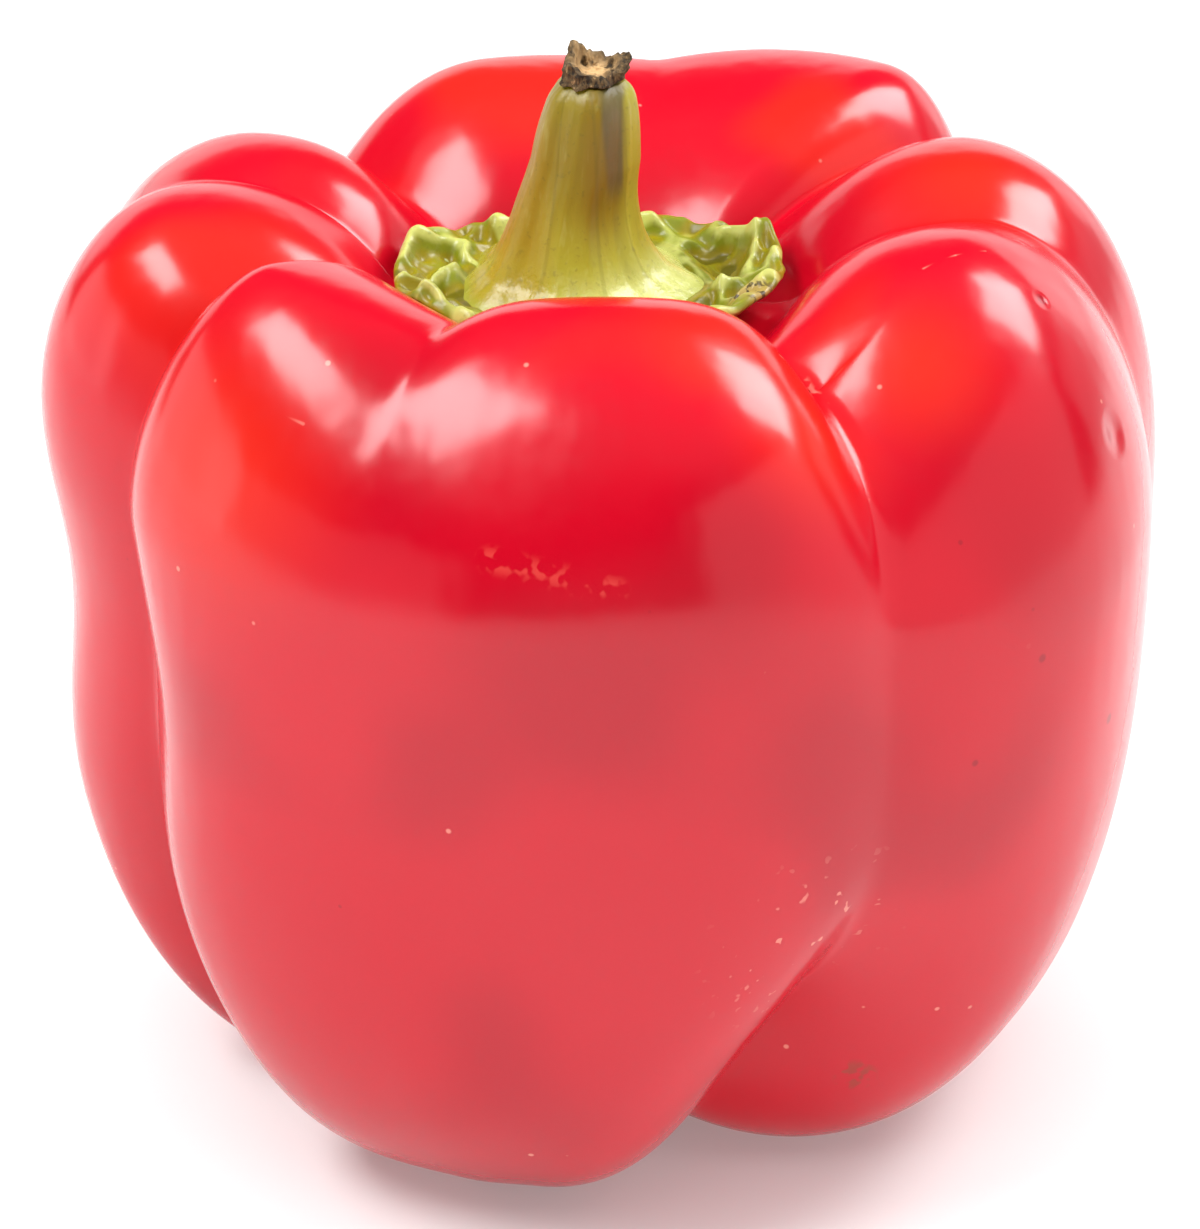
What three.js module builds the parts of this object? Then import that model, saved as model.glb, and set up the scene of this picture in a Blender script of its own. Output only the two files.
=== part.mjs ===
// Bell pepper: a blocky fruit of four doubled lobes with its calyx, stem and torn stem end.
// Millimetres, +Z up. The lobes stand on z = 0 and the fruit's axis runs up through the stem.
// The front faces -Y. Angles are degrees round the axis, counted from +X towards +Y.

import * as THREE from "three";

// Colours of the pieces
const FRUIT_RED = 0xd2283a;
const CALYX_GREEN = 0x93a83c;
const STEM_GREEN = 0xa3962f;
const TORN_BROWN = 0x7d6440;

// Floor of the hollow at the top, where the calyx lies, and depth of the hollow underneath
const SEAT_LEVEL = 72.0;
const SEAT_SHIFT = -1.0;
const BLOSSOM_HOLLOW = 11.0;
const BLOSSOM_SCAR_RADIUS = 2.6;
const BLOSSOM_SCAR_RISE = 0.7;

// Middle of the outline seen from above, which is set over the origin
const MIDDLE_X = 0.505;
const MIDDLE_Y = 1.493;

// Where each stretch of a meridian starts and ends, as shares of its length, and its rows
const MERIDIAN_MARKS = [0, 0.08, 0.25, 0.45, 0.85, 1];
const MERIDIAN_ROWS = [3, 7, 9, 17, 8];
const COLUMNS_PER_FLANK = 6;

// Rounded ridges of the lobes, in order round the fruit.
// at: angle at the crest, the belly and the foot; seat: radius of the seat's edge;
// crest, belly and foot: radius and height;
// shoulder and flank: fullness of the curve above and below the belly;
// round: breadth of the ridge at the crest, the belly and the foot.
const RIDGES = [
  {
    name: "front_left",
    at: [-147.9, -145, -128],
    seat: 15.2,
    crest: { r: 30.1, z: 81.6 },
    belly: { r: 43.2, z: 61.1 },
    foot: { r: 18.6, z: 0.9 },
    shoulder: 1.68,
    flank: 2.76,
    round: [2.3, 2.3, 2.3],
  },
  {
    name: "front_right",
    at: [-88.5, -83, -104],
    seat: 15.0,
    crest: { r: 24.7, z: 81.9 },
    belly: { r: 42.8, z: 60.8 },
    foot: { r: 15.5, z: -0.2 },
    shoulder: 1.74,
    flank: 2.58,
    round: [5.1, 3.4, 2.4],
  },
  {
    name: "right_front",
    at: [-18.6, -25, -32],
    seat: 16.4,
    crest: { r: 29.8, z: 81.3 },
    belly: { r: 46.7, z: 56.0 },
    foot: { r: 16.8, z: -0.4 },
    shoulder: 1.72,
    flank: 2.4,
    round: [2.1, 2.1, 2.1],
  },
  {
    name: "right_back",
    at: [17, 13, 10],
    seat: 16.8,
    crest: { r: 31.6, z: 81.5 },
    belly: { r: 48.5, z: 53.1 },
    foot: { r: 23.5, z: 2.0 },
    shoulder: 2.18,
    flank: 2.88,
    round: [2.5, 2.5, 2.5],
  },
  {
    name: "back_right",
    at: [51.4, 56, 60],
    seat: 14.4,
    crest: { r: 36.5, z: 81.4 },
    belly: { r: 49.3, z: 55.8 },
    foot: { r: 21.4, z: -0.4 },
    shoulder: 2.42,
    flank: 2.3,
    round: [2.5, 2.5, 2.5],
  },
  {
    name: "back_left",
    at: [106.7, 105.8, 105],
    seat: 12.9,
    crest: { r: 30.2, z: 81.8 },
    belly: { r: 44.6, z: 53.9 },
    foot: { r: 21.4, z: 0.9 },
    shoulder: 2.1,
    flank: 2.3,
    round: [2.5, 2.5, 2.5],
  },
  {
    name: "left_back",
    at: [155.9, 152.3, 150],
    seat: 16.4,
    crest: { r: 29.7, z: 80.8 },
    belly: { r: 47.4, z: 58.4 },
    foot: { r: 19.5, z: 0.9 },
    shoulder: 2.35,
    flank: 2.5,
    round: [2.5, 2.5, 2.5],
  },
  {
    name: "left_front",
    at: [178.1, 179.1, 190],
    seat: 16.6,
    crest: { r: 33.4, z: 80.7 },
    belly: { r: 47.8, z: 55.2 },
    foot: { r: 17.6, z: -0.2 },
    shoulder: 2.12,
    flank: 2.38,
    round: [2.5, 2.5, 2.5],
  },
];

// The crease that follows each ridge: angle, depth and softness at the top, the belly and the foot.
// Deep ones part the lobes, shallow ones run down the middle of a lobe.
const CREASES = [
  { name: "front_middle", at: [-118.6, -118, -112], deep: [3.0, 0.9, 0.0], soft: [0.19, 1.0, 1.0] },
  { name: "front_to_right", at: [-51.7, -57, -72], deep: [9.2, 2.8, 11.5], soft: [0.13, 0.35, 0.2] },
  { name: "right_middle", at: [0.8, 0, -10], deep: [2.7, 1.6, 0.9], soft: [0.31, 0.6, 0.9] },
  { name: "right_to_back", at: [40.1, 37, 38], deep: [6.0, 3.7, 9.0], soft: [0.1, 0.5, 0.3] },
  { name: "back_middle", at: [81.4, 84, 82], deep: [1.7, 0.9, 1.4], soft: [0.1, 0.9, 0.9] },
  { name: "back_to_left", at: [135, 130, 128], deep: [8.3, 3.7, 9.0], soft: [0.1, 0.5, 0.3] },
  { name: "left_middle", at: [168, 168, 168], deep: [1.1, 0.9, 1.4], soft: [0.2, 0.9, 0.9] },
  { name: "left_to_front", at: [200, 198, 196], deep: [7.4, 4.7, 9.5], soft: [0.1, 0.3, 0.2] },
];

// Shallow dents, the waist of the left lobe first: angle, height, spread both ways and depth.
// A depth below zero is a swelling.
const DENTS = [
  { at: 184, z: 47.3, wide: 14, tall: 9.4, deep: 3.0 },
  { at: -153, z: 45, wide: 6, tall: 9, deep: 1.3 },
  { at: -68, z: 76, wide: 9, tall: 5, deep: -1.0 },
  { at: -100, z: 76, wide: 8, tall: 5, deep: 0.7 },
  { at: -136, z: 75, wide: 8, tall: 5, deep: 0.2 },
  { at: -38, z: 76, wide: 8, tall: 5, deep: -0.2 },
  { at: -12, z: 76, wide: 8, tall: 5, deep: -0.4 },
];

// Calyx: a quilted green saucer whose rim rises against the fruit and curls up into points
const CALYX_CENTRE_X = -1.0;
const CALYX_BASE = SEAT_LEVEL + 0.3;
const CALYX_FLOOR = 73.0;
const CALYX_FLAT = 10.9;
const CALYX_RIM = 75.6;
const CALYX_THICKNESS = 0.9;
const CALYX_COLUMNS = 80;
const CALYX_TOP_ROWS = 11;
const CALYX_UNDER_ROWS = 4;

// Radius of the calyx rim at given angles: it is narrower behind and in front than at the sides
const CALYX_OUTLINE = [
  [1, 15.7],
  [24, 16.4],
  [38, 15.5],
  [50, 13.9],
  [70, 12.6],
  [98, 12.0],
  [126, 12.3],
  [142, 14.2],
  [156, 15.8],
  [180, 16.2],
  [196, 15.8],
  [212, 14.7],
  [240, 14.4],
  [270, 14.2],
  [305, 14.6],
  [332, 15.4],
  [361, 15.7],
];

// Points of the calyx rim: angle, width in degrees, how far out and how far up each one goes
const CALYX_POINTS = [
  { at: 22, wide: 8, out: 0.5, up: 2.3 },
  { at: -14, wide: 9, out: 0.7, up: 1.2 },
  { at: -48, wide: 8, out: 0.4, up: 0.9 },
  { at: -100, wide: 9, out: 0.6, up: 0.8 },
  { at: 158, wide: 8, out: 0.5, up: 2.2 },
  { at: 205, wide: 9, out: 0.6, up: 0.7 },
  { at: 92, wide: 10, out: 0.3, up: 0.3 },
];

// Stem: height and radius up its flared outline
const STEM_OUTLINE = [
  [73.3, 10.0],
  [73.7, 9.5],
  [74.4, 8.6],
  [75.4, 7.4],
  [77.2, 6.25],
  [79.2, 5.5],
  [81.6, 4.95],
  [84.2, 4.65],
  [86.8, 4.3],
  [88.5, 4.03],
  [89.8, 3.7],
  [90.6, 3.25],
  [91.2, 2.6],
];
const STEM_COLUMNS = 50;
const STEM_ROWS = 20;
const STEM_ANGLES = 5;
const STEM_ANGULAR = 0.05;
const STEM_FOOT_X = -1.6;
const STEM_BEND = -0.5;
const STEM_TIP_LEAN = 1.3;

// Torn end of the stem: a ragged dry collar round a shallow dish, with one fragment standing up
const TORN_CENTRE_X = -0.5;
const TORN_BASE = 91.5;
const TORN_RADIUS = 2.55;
const TORN_HEIGHT = 1.2;
const TORN_DISH = 0.5;
const TORN_COLUMNS = 36;
const FRAGMENT = { at: 168, wide: 26, up: 1.3 };

const DEGREE = Math.PI / 180;

/** A share between 0 and 1 with level ends. */
function ease(share) {
  const x = Math.min(Math.max(share, 0), 1);
  return x * x * (3 - 2 * x);
}

/** A value that eases from one given level to the next at the given marks. */
function easedLevels(marks, levels, at) {
  let value = levels[0];
  for (let i = 0; i + 1 < marks.length; i += 1) {
    value += (levels[i + 1] - levels[i]) * ease((at - marks[i]) / (marks[i + 1] - marks[i]));
  }
  return value;
}

/** A top, belly and foot value at a share of the meridian. */
function alongMeridian(levels, share) {
  return easedLevels([0.2, 0.5, 0.85], levels, share);
}

/** Shortest signed turn from one angle to another, in degrees. */
function turnBetween(angle, other) {
  return ((((other - angle + 180) % 360) + 360) % 360) - 180;
}

/** A smooth bump of height 1 at 0. */
function bump(distance, width) {
  return Math.exp(-0.5 * (distance / width) ** 2);
}

/** Shares of the meridian at which there is a row of points. */
function rowShares() {
  const shares = [];
  MERIDIAN_ROWS.forEach((count, stretch) => {
    const start = MERIDIAN_MARKS[stretch];
    const length = MERIDIAN_MARKS[stretch + 1] - start;
    for (let i = 0; i < count; i += 1) {
      shares.push(start + (length * i) / count);
    }
  });
  shares.push(1);
  return shares;
}

/** Point of a ridge's meridian on the given stretch, at x from 0 to 1 along it. */
function ridgePoint(ridge, stretch, x) {
  const { crest, belly, foot } = ridge;
  const quarter = (x * Math.PI) / 2;
  if (stretch === 0) {
    return [ridge.seat * x, SEAT_LEVEL];
  }
  if (stretch === 1) {
    const r = crest.r - (crest.r - ridge.seat) * Math.cos(quarter);
    return [r, SEAT_LEVEL + (crest.z - SEAT_LEVEL) * Math.sin(quarter)];
  }
  if (stretch === 2) {
    const power = 2 / ridge.shoulder;
    const r = crest.r + (belly.r - crest.r) * Math.sin(quarter) ** power;
    return [r, belly.z + (crest.z - belly.z) * Math.cos(quarter) ** power];
  }
  if (stretch === 3) {
    const power = 2 / ridge.flank;
    const r = foot.r + (belly.r - foot.r) * Math.cos(quarter) ** power;
    return [r, belly.z - (belly.z - foot.z) * Math.sin(quarter) ** power];
  }
  const rise = (1 - Math.cos(Math.PI * x)) / 2;
  return [foot.r * (1 - x), foot.z + (BLOSSOM_HOLLOW - foot.z) * rise];
}

/** All points of a ridge's meridian, from the seat over the crest down to the blossom hollow. */
function ridgeMeridian(ridge) {
  const points = [];
  MERIDIAN_ROWS.forEach((count, stretch) => {
    for (let i = 0; i < count; i += 1) {
      points.push(ridgePoint(ridge, stretch, i / count));
    }
  });
  points.push(ridgePoint(ridge, 4, 1));
  return points;
}

/** Unit normal of a meridian that points into the flesh. */
function inwardNormal(points, row) {
  const before = points[Math.max(row - 1, 0)];
  const after = points[Math.min(row + 1, points.length - 1)];
  const along = [after[0] - before[0], after[1] - before[1]];
  const length = Math.hypot(along[0], along[1]);
  return [along[1] / length, -along[0] / length];
}

/** Points of a crease's meridian: the mean of its two ridges, sunk by the crease's depth. */
function creaseMeridian(crease, left, right, shares) {
  const mean = left.map((p, i) => [(p[0] + right[i][0]) / 2, (p[1] + right[i][1]) / 2]);
  const [top, middle, low] = crease.deep;
  return mean.map((point, row) => {
    const marks = [0, 0.25, 0.5, 0.66, 0.84, 1];
    const depth = easedLevels(marks, [0, top, middle, low, 0.45 * low, 0], shares[row]);
    const normal = inwardNormal(mean, row);
    const onAxis = row === 0 || row === mean.length - 1;
    const r = onAxis ? 0 : Math.max(point[0] + normal[0] * depth, 0);
    return [r, point[1] + normal[1] * depth];
  });
}

/** How far a flank point belongs to the ridge (1) or the crease (0), at s from ridge to crease. */
function ridgeWeight(s, round, softness) {
  const sharp = 1 - s ** round;
  const wavy = (1 + Math.cos(Math.PI * s)) / 2;
  return sharp + (wavy - sharp) * softness;
}

/** Raised scar in the middle of the hollow underneath. */
function scarRise(r, share) {
  return share > 0.85 ? -BLOSSOM_SCAR_RISE * bump(r, BLOSSOM_SCAR_RADIUS) : 0;
}

/** Depth of all dents together at an angle and a height. */
function dentDepth(angle, height) {
  return DENTS.reduce((depth, dent) => {
    const near = bump(turnBetween(dent.at, angle), dent.wide) * bump(height - dent.z, dent.tall);
    return depth + dent.deep * near;
  }, 0);
}

/** A point of the skin from its angle, radius, height and share of the meridian. */
function skinPoint(angle, radius, height, share) {
  const onSide = ease((share - 0.28) / 0.1) * ease((0.85 - share) / 0.05);
  const r = radius - dentDepth(angle, height) * onSide;
  const shift = SEAT_SHIFT * (1 - ease(share / 0.25));
  const x = r * Math.cos(angle * DEGREE) + shift;
  const y = r * Math.sin(angle * DEGREE);
  return new THREE.Vector3(x, y, Math.max(height + scarRise(r, share), 0));
}

/** Columns of skin points from a ridge to the next ridge, across the crease between them. */
function lobeColumns(index, meridians, shares) {
  const next = (index + 1) % RIDGES.length;
  const crease = CREASES[index];
  const sunk = creaseMeridian(crease, meridians[index], meridians[next], shares);
  const columns = [];
  for (let step = 0; step < 2 * COLUMNS_PER_FLANK; step += 1) {
    const after = step >= COLUMNS_PER_FLANK;
    const ridge = after ? RIDGES[next] : RIDGES[index];
    const high = after ? meridians[next] : meridians[index];
    const s = after ? 2 - step / COLUMNS_PER_FLANK : step / COLUMNS_PER_FLANK;
    columns.push(
      shares.map((share, row) => {
        const round = alongMeridian(ridge.round, share);
        const weight = ridgeWeight(s, round, alongMeridian(crease.soft, share));
        const start = alongMeridian(ridge.at, share);
        const angle = start + turnBetween(start, alongMeridian(crease.at, share)) * s;
        const r = sunk[row][0] + (high[row][0] - sunk[row][0]) * weight;
        const z = sunk[row][1] + (high[row][1] - sunk[row][1]) * weight;
        return skinPoint(angle, r, z, share);
      }),
    );
  }
  return columns;
}

/** A turned body of columns of points; each one runs from the axis outwards and back to it. */
function turnedBody(columns) {
  const rows = columns[0].length;
  const outline = columns[0].map((p) => new THREE.Vector2(Math.hypot(p.x, p.y), p.z));
  const geometry = new THREE.LatheGeometry(outline, columns.length);
  for (let column = 0; column <= columns.length; column += 1) {
    columns[(columns.length - column) % columns.length].forEach((p, row) => {
      geometry.attributes.position.setXYZ(column * rows + row, p.x, p.y, p.z);
    });
  }
  geometry.computeVertexNormals();
  return geometry;
}

function fruitGeometry() {
  const shares = rowShares();
  const meridians = RIDGES.map(ridgeMeridian);
  const columns = RIDGES.flatMap((_, index) => lobeColumns(index, meridians, shares));
  return turnedBody(columns);
}

/** Plain radius of the calyx rim at an angle. */
function calyxRadius(angle) {
  const marks = CALYX_OUTLINE.map(([at]) => at);
  const radii = CALYX_OUTLINE.map(([, radius]) => radius);
  const turned = ((((angle - marks[0]) % 360) + 360) % 360) + marks[0];
  return easedLevels(marks, radii, turned);
}

/** How much of the calyx's points there is at an angle, as [outwards, upwards]. */
function calyxPoint(angle) {
  return CALYX_POINTS.reduce(
    ([out, up], point) => {
      const near = bump(turnBetween(point.at, angle), point.wide);
      return [out + point.out * near, up + point.up * near];
    },
    [0, 0],
  );
}

/** Height of the calyx's quilted top at an angle and a share of its reach. */
function calyxTop(angle, share, reach) {
  const a = angle * DEGREE;
  const up = calyxPoint(angle)[1] * ease((share - 0.8) / 0.2);
  const beyond = reach * share - CALYX_FLAT;
  const rise = (CALYX_RIM - CALYX_FLOOR) * ease(beyond / (reach - CALYX_FLAT));
  const open = ease(beyond / 1.5) * ease((1.06 - share) / 0.12);
  const quilt = 0.45 * Math.sin(9 * a + 5 * share) * Math.sin(19 * share + 3 * Math.sin(4 * a));
  const folds = 0.25 * Math.cos(17 * a - 6 * share);
  return CALYX_FLOOR + rise + up + open * (quilt + folds);
}

/** One column of calyx points: over the top, round the rim and back under to the axis. */
function calyxColumn(angle) {
  const a = angle * DEGREE;
  const wave = 0.15 * Math.cos(5 * a + 0.7) + 0.1 * Math.cos(11 * a);
  const reach = calyxRadius(angle) + wave + calyxPoint(angle)[0];
  const place = (share, height) => {
    const x = CALYX_CENTRE_X + reach * share * Math.cos(a);
    return new THREE.Vector3(x, reach * share * Math.sin(a), height);
  };
  const points = [];
  for (let row = 0; row <= CALYX_TOP_ROWS; row += 1) {
    const share = row === 0 ? 0 : 0.5 + (0.5 * row) / CALYX_TOP_ROWS;
    points.push(place(share, calyxTop(angle, share, reach)));
  }
  for (let row = CALYX_UNDER_ROWS; row >= 0; row -= 1) {
    const share = row === 0 ? 0 : 0.7 + (0.27 * row) / CALYX_UNDER_ROWS;
    const low = Math.max(calyxTop(angle, share, reach) - CALYX_THICKNESS, CALYX_BASE);
    points.push(place(share, share < 0.75 ? CALYX_BASE : low));
  }
  return points;
}

function calyxGeometry() {
  const columns = [];
  for (let i = 0; i < CALYX_COLUMNS; i += 1) {
    columns.push(calyxColumn((360 * i) / CALYX_COLUMNS));
  }
  return turnedBody(columns);
}

/** Sideways place of the stem's middle line at a share of its height. */
function stemMiddle(share) {
  return STEM_FOOT_X + STEM_BEND * Math.sin(Math.PI * Math.min(share * 1.6, 1)) + STEM_TIP_LEAN * share ** 2;
}

/** One column of stem points: out under the foot, up the angular side and in over the top. */
function stemColumn(angle) {
  const a = angle * DEGREE;
  const outline = new THREE.SplineCurve(STEM_OUTLINE.map(([z, r]) => new THREE.Vector2(r, z)));
  const foot = STEM_OUTLINE[0][0];
  const height = STEM_OUTLINE[STEM_OUTLINE.length - 1][0] - foot;
  const place = (r, z) => {
    const share = (z - foot) / height;
    const ribs = Math.cos(STEM_ANGLES * a + 0.9) + 0.4 * Math.cos(2 * STEM_ANGLES * a + 0.4);
    const round = r * (1 + STEM_ANGULAR * ribs);
    return new THREE.Vector3(stemMiddle(share) + round * Math.cos(a), round * Math.sin(a), z);
  };
  const points = [place(0, foot)];
  for (let row = 0; row <= STEM_ROWS; row += 1) {
    const p = outline.getPoint(row / STEM_ROWS);
    points.push(place(p.x, p.y));
  }
  points.push(place(0, foot + height));
  return points;
}

function stemGeometry() {
  const columns = [];
  for (let i = 0; i < STEM_COLUMNS; i += 1) {
    columns.push(stemColumn((-360 * i) / STEM_COLUMNS));
  }
  return turnedBody(columns);
}

/** Height of the torn collar's edge at an angle. */
function tornEdge(angle) {
  const a = angle * DEGREE;
  const ragged = 0.22 * Math.sin(7 * a + 1) + 0.16 * Math.sin(13 * a) + 0.12 * Math.cos(17 * a + 2);
  const fragment = FRAGMENT.up * bump(turnBetween(FRAGMENT.at, angle), FRAGMENT.wide);
  return TORN_BASE + TORN_HEIGHT + ragged + fragment;
}

/** One column of torn end points: out underneath, up the collar and in over the dish. */
function tornColumn(angle) {
  const a = angle * DEGREE;
  const reach = TORN_RADIUS * (1 + 0.06 * Math.cos(5 * a) + 0.05 * Math.sin(9 * a));
  const edge = tornEdge(angle);
  const outline = [
    [0, TORN_BASE],
    [0.9, TORN_BASE],
    [1.0, TORN_BASE + 0.25],
    [0.98, TORN_BASE + 0.6 * (edge - TORN_BASE)],
    [0.86, edge],
    [0.66, edge - 0.15],
    [0.5, TORN_BASE + TORN_DISH + 0.3],
    [0.25, TORN_BASE + TORN_DISH],
    [0, TORN_BASE + TORN_DISH],
  ];
  return outline.map(([share, z]) => {
    const r = reach * share;
    return new THREE.Vector3(TORN_CENTRE_X + r * Math.cos(a), r * Math.sin(a), z);
  });
}

function tornGeometry() {
  const columns = [];
  for (let i = 0; i < TORN_COLUMNS; i += 1) {
    columns.push(tornColumn((-360 * i) / TORN_COLUMNS));
  }
  return turnedBody(columns);
}

function plainMaterial(color, roughness) {
  return new THREE.MeshStandardMaterial({ color, roughness, metalness: 0 });
}

function namedMesh(name, geometry, material) {
  const mesh = new THREE.Mesh(geometry, material);
  mesh.name = name;
  return mesh;
}

function makeFruit() {
  return namedMesh("fruit", fruitGeometry(), plainMaterial(FRUIT_RED, 0.28));
}

function makeCalyx() {
  return namedMesh("calyx", calyxGeometry(), plainMaterial(CALYX_GREEN, 0.45));
}

function makeStem() {
  return namedMesh("stem", stemGeometry(), plainMaterial(STEM_GREEN, 0.42));
}

function makeStemEnd() {
  return namedMesh("stem_end", tornGeometry(), plainMaterial(TORN_BROWN, 0.85));
}

const pepper = new THREE.Group();
pepper.name = "bell_pepper";
pepper.add(makeFruit());
pepper.add(makeCalyx());
pepper.add(makeStem());
pepper.add(makeStemEnd());
pepper.position.set(-MIDDLE_X, -MIDDLE_Y, 0);

export default pepper;
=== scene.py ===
"""Dresses the red bell pepper: its lobed fruit, quilted calyx, ribbed stem and torn stem end.

Everything is in metres in the part's own frame, +Z up, with the broad front lobe towards -Y.
The shape formulas work in millimetres and turn into metres when a point is placed.
"""

import logging
import math
from dataclasses import dataclass, field
from enum import Enum
from typing import Callable, Sequence

import bmesh
import bpy
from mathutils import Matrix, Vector, noise
from mathutils.kdtree import KDTree


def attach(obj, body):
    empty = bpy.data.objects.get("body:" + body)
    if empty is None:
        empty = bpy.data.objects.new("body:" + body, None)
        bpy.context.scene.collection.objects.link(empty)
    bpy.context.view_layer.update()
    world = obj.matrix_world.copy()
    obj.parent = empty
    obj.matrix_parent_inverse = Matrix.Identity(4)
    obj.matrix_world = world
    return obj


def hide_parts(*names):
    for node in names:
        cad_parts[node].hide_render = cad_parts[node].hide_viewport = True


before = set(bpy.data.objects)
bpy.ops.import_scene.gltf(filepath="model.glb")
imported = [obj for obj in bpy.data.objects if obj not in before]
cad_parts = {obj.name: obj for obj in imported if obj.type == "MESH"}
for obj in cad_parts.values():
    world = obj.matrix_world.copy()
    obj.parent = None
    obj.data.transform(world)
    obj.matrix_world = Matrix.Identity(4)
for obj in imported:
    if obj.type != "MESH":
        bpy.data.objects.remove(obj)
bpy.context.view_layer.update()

LOG = logging.getLogger("bell_pepper")
MM = 0.001

# Middle of the outline seen from above, in millimetres: it stands over the origin.
MIDDLE_X = 0.505
MIDDLE_Y = 1.493


# Shape maths


def ease(share: float) -> float:
    """Return a share between 0 and 1 with level ends.

    Args:
        share: Any number; it is held between 0 and 1.

    Returns:
        The eased share.
    """
    x = min(max(share, 0.0), 1.0)
    return x * x * (3.0 - 2.0 * x)


def eased_levels(marks: Sequence[float], levels: Sequence[float], at: float) -> float:
    """Ease from one level to the next at the given marks.

    Args:
        marks: Where each level is reached.
        levels: The levels, one for each mark.
        at: Where the value is wanted.

    Returns:
        The value there.
    """
    value = levels[0]
    for i in range(len(marks) - 1):
        value += (levels[i + 1] - levels[i]) * ease((at - marks[i]) / (marks[i + 1] - marks[i]))
    return value


def turn_between(angle: float, other: float) -> float:
    """Return the shortest signed turn from one angle to another, in degrees."""
    return (other - angle + 180.0) % 360.0 - 180.0


def bump(distance: float, width: float) -> float:
    """Return a smooth bump that is 1 at distance 0."""
    return math.exp(-0.5 * (distance / width) ** 2)


def perlin(x: float, y: float, z: float, size: float) -> float:
    """Return smooth noise from about -1 to 1 whose features are about size across."""
    return noise.noise(Vector((x / size, y / size, z / size)))


def placed(x: float, y: float, z: float) -> Vector:
    """Turn millimetres of the pepper's own axis into metres of the part's frame."""
    return Vector(((x - MIDDLE_X) * MM, (y - MIDDLE_Y) * MM, z * MM))


# Turned bodies


Shaper = Callable[[int, int], Vector]


@dataclass
class TurnedBody:
    """A closed body spun from a plain outline and then given its real form point by point.

    Attributes:
        name: Name of the piece.
        rows: Number of points of the outline, from the axis and back to it.
        columns: Number of steps of the spin.
        shape: Gives the place of a point from its column and row.
        smooth_levels: Levels of the Subdivision Surface that finishes it.
    """

    name: str
    rows: int
    columns: int
    shape: Shaper
    smooth_levels: int = 1

    def outline_point(self, row: int) -> Vector:
        """Return a point of the plain half round that is spun."""
        angle = math.pi * row / (self.rows - 1)
        return Vector((math.sin(angle) * 0.05, 0.0, math.cos(angle) * 0.05))

    def spin(self) -> bmesh.types.BMesh:
        """Spin the half round into a closed ball of rows and columns.

        Returns:
            The mesh, with its poles merged.
        """
        bm = bmesh.new()
        ring = [bm.verts.new(self.outline_point(row)) for row in range(self.rows)]
        edges = [bm.edges.new(pair) for pair in zip(ring, ring[1:])]
        bmesh.ops.spin(
            bm, geom=ring + edges, cent=(0, 0, 0), axis=(0, 0, 1), dvec=(0, 0, 0),
            angle=math.tau, steps=self.columns, use_merge=True, use_duplicate=False,
        )
        bmesh.ops.remove_doubles(bm, verts=bm.verts, dist=1e-6)
        return bm

    def build(self) -> bpy.types.Object:
        """Make the piece.

        Returns:
            The object, at the origin, riding on nothing yet.
        """
        bm = self.spin()
        step = math.tau / self.columns
        for vert in bm.verts:
            x, y, z = vert.co
            row = round(math.atan2(math.hypot(x, y), z) * (self.rows - 1) / math.pi)
            column = round(math.atan2(y, x) / step) % self.columns
            vert.co = self.shape(column, row)
        bmesh.ops.recalc_face_normals(bm, faces=bm.faces)
        return finished_object(self.name, bm, self.smooth_levels)


def finished_object(name: str, bm: bmesh.types.BMesh, smooth_levels: int) -> bpy.types.Object:
    """Make an object of a mesh, smooth and with a Subdivision Surface.

    Args:
        name: Name of the piece.
        bm: The mesh, which is freed.
        smooth_levels: Levels of the Subdivision Surface; none is added for 0.

    Returns:
        The linked object.
    """
    mesh = bpy.data.meshes.new(name)
    bm.to_mesh(mesh)
    bm.free()
    mesh.polygons.foreach_set("use_smooth", [True] * len(mesh.polygons))
    piece = bpy.data.objects.new(name, mesh)
    bpy.context.scene.collection.objects.link(piece)
    if smooth_levels:
        surface = piece.modifiers.new("smooth", "SUBSURF")
        surface.levels = smooth_levels
        surface.render_levels = smooth_levels
    return piece


# Shader maths


Number = float | int


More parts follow.
